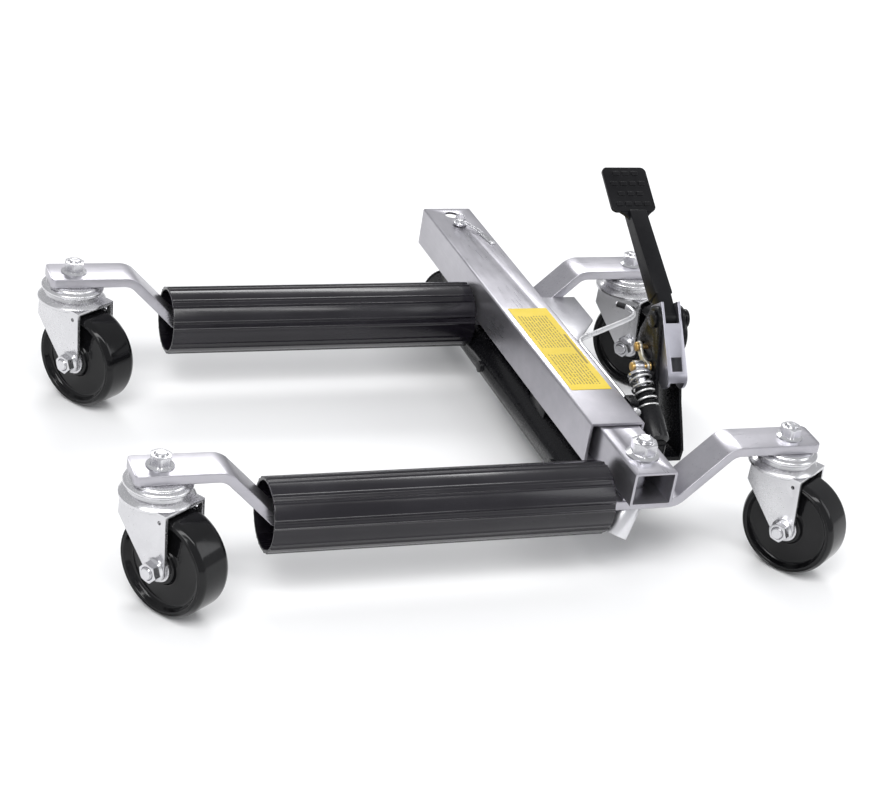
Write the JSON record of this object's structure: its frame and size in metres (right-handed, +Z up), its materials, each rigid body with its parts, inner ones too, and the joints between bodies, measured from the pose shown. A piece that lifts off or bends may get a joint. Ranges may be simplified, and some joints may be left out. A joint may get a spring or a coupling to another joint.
{
  "type": "wheel dolly",
  "caption": "Low frame that straddles a car tyre: two spinning rollers on a telescoping beam with swivel casters, drawn together by a foot-pumped ram.",
  "frame": {"origin": "floor level, centre of the part's outline seen from above, at rest", "axes": "+X along the roller arms towards the pedal side, +Y along the beam away from the sliding arm, +Z up"},
  "size_m": [0.7486, 0.65, 0.2979],
  "materials": {
    "tube_zinc": "zinc plated, satin with a faint violet tinge",
    "bar_zinc": "zinc plated flat steel, satin",
    "roller_black": "black, longitudinally ribbed, satin",
    "bush_nylon": "dark nylon",
    "fastener_zinc": "bright zinc",
    "socket_zinc": "bright zinc",
    "caster_zinc": "bright zinc pressing",
    "wheel_black": "glossy black moulded wheel",
    "ram_black": "black enamel",
    "rod_chrome": "hard chrome",
    "piston_steel": "machined steel",
    "plunger_chrome": "chrome",
    "spring_steel": "bright spring wire",
    "pedal_black": "black powder coat",
    "socket_plate": "zinc plated, satin",
    "link_zinc": "pale zinc",
    "pin_brass": "yellow passivated",
    "release_zinc": "bright rod",
    "gusset_zinc": "zinc plated sheet",
    "label_yellow": null,
    "hitch_zinc": "bright zinc"
  },
  "bodies": {
    "frame": {"outer_tube": "tube_zinc", "far_arm": "bar_zinc", "far_bushes": "bush_nylon", "far_kingpins": "fastener_zinc", "far_races": "caster_zinc", "far_king_nuts": "fastener_zinc", "ram_cylinder": "ram_black", "ram_gland": "ram_black", "ram_saddles": "ram_black", "pump_block": "ram_black", "pedal_bracket": "ram_black", "pedal_pivot": "ram_black", "gusset": "gusset_zinc", "label_plate": "label_yellow", "hitch_chain": "hitch_zinc", "plunger_spring": "spring_steel"},
    "carriage": {"inner_tube": "tube_zinc", "near_arm": "bar_zinc", "near_spacer": "bar_zinc", "near_bushes": "bush_nylon", "arm_stud": "fastener_zinc", "arm_nut": "fastener_zinc", "arm_socket": "socket_zinc", "near_kingpins": "fastener_zinc", "near_races": "caster_zinc", "near_king_nuts": "fastener_zinc", "ram_rod": "rod_chrome", "ram_piston": "piston_steel", "ram_lug": "piston_steel"},
    "near_roller": {"near_roller": "roller_black"},
    "far_roller": {"far_roller": "roller_black"},
    "plunger": {"plunger": "plunger_chrome", "link_pin_b": "pin_brass"},
    "pedal": {"pedal_arm": "pedal_black", "pedal_sleeve": "socket_plate", "pedal_pad": "pedal_black", "link_pin_a": "pin_brass"},
    "link": {"drive_link": "link_zinc"},
    "release": {"release_rod": "release_zinc"},
    "hitch": {"hitch_pin": "hitch_zinc"},
    "swivel_nl": {"fork_nl": "caster_zinc", "axle_nl": "fastener_zinc", "axle_nut_nl": "fastener_zinc"},
    "wheel_nl": {"wheel_nl": "wheel_black", "hub_nl": "caster_zinc"},
    "swivel_nr": {"fork_nr": "caster_zinc", "axle_nr": "fastener_zinc", "axle_nut_nr": "fastener_zinc"},
    "wheel_nr": {"wheel_nr": "wheel_black", "hub_nr": "caster_zinc"},
    "swivel_fl": {"fork_fl": "caster_zinc", "axle_fl": "fastener_zinc", "axle_nut_fl": "fastener_zinc"},
    "wheel_fl": {"wheel_fl": "wheel_black", "hub_fl": "caster_zinc"},
    "swivel_fr": {"fork_fr": "caster_zinc", "axle_fr": "fastener_zinc", "axle_nut_fr": "fastener_zinc"},
    "wheel_fr": {"wheel_fr": "wheel_black", "hub_fr": "caster_zinc"}
  },
  "joints": [
    {"name": "beam_slide", "type": "slide", "parent": "frame", "child": "carriage", "axis": [0, -1, 0], "range_m": [-0.015, 0.18]},
    {"name": "near_roller_spin", "type": "hinge", "parent": "carriage", "child": "near_roller", "pos_m": [-0.04832, -0.24999, 0.08], "axis": [1, 0, 0], "continuous": true},
    {"name": "far_roller_spin", "type": "hinge", "parent": "frame", "child": "far_roller", "pos_m": [-0.04832, 0.15001, 0.08], "axis": [1, 0, 0], "continuous": true},
    {"name": "pedal_press", "type": "hinge", "parent": "frame", "child": "pedal", "pos_m": [0.23668, -0.09299, 0.195], "axis": [-1, 0, 0], "range_deg": [0, 22], "stiffness_Nm_per_rad": 12, "springref_deg": -20.05},
    {"name": "plunger_stroke", "type": "slide", "parent": "frame", "child": "plunger", "axis": [0, -0.8192, -0.5736], "range_m": [0, 0.0132], "deforming": ["plunger_spring"]},
    {"name": "link_swing", "type": "hinge", "parent": "pedal", "child": "link", "pos_m": [0.21618, -0.08399, 0.158], "axis": [1, 0, 0], "range_deg": [0, 39]},
    {"name": "release_turn", "type": "hinge", "parent": "frame", "child": "release", "pos_m": [0.18618, -0.12999, 0.122], "axis": [0, -1, 0], "range_deg": [-8, 25]},
    {"name": "hitch_lift", "type": "slide", "parent": "frame", "child": "hitch", "axis": [0, 0, 1], "range_m": [0, 0.06]},
    {"name": "swivel_nl", "type": "hinge", "parent": "carriage", "child": "swivel_nl", "pos_m": [-0.33832, -0.24999, 0.115], "axis": [0, 0, 1], "continuous": true},
    {"name": "roll_nl", "type": "hinge", "parent": "swivel_nl", "child": "wheel_nl", "pos_m": [-0.32266, -0.2732, 0.052], "axis": [0.829, 0.5592, 0], "continuous": true},
    {"name": "swivel_nr", "type": "hinge", "parent": "carriage", "child": "swivel_nr", "pos_m": [0.31468, -0.24999, 0.115], "axis": [0, 0, 1], "continuous": true},
    {"name": "roll_nr", "type": "hinge", "parent": "swivel_nr", "child": "wheel_nr", "pos_m": [0.33034, -0.2732, 0.052], "axis": [0.829, 0.5592, 0], "continuous": true},
    {"name": "swivel_fl", "type": "hinge", "parent": "frame", "child": "swivel_fl", "pos_m": [-0.33832, 0.15001, 0.115], "axis": [0, 0, 1], "continuous": true},
    {"name": "roll_fl", "type": "hinge", "parent": "swivel_fl", "child": "wheel_fl", "pos_m": [-0.32266, 0.1268, 0.052], "axis": [0.829, 0.5592, 0], "continuous": true},
    {"name": "swivel_fr", "type": "hinge", "parent": "frame", "child": "swivel_fr", "pos_m": [0.31468, 0.15001, 0.115], "axis": [0, 0, 1], "continuous": true},
    {"name": "roll_fr", "type": "hinge", "parent": "swivel_fr", "child": "wheel_fr", "pos_m": [0.33034, 0.1268, 0.052], "axis": [0.829, 0.5592, 0], "continuous": true}
  ],
  "couplings": [
    {"joint": "plunger_stroke", "follows": "pedal_press", "m_per_rad": 0.03375},
    {"joint": "link_swing", "follows": "pedal_press", "ratio": 1.73}
  ]
}
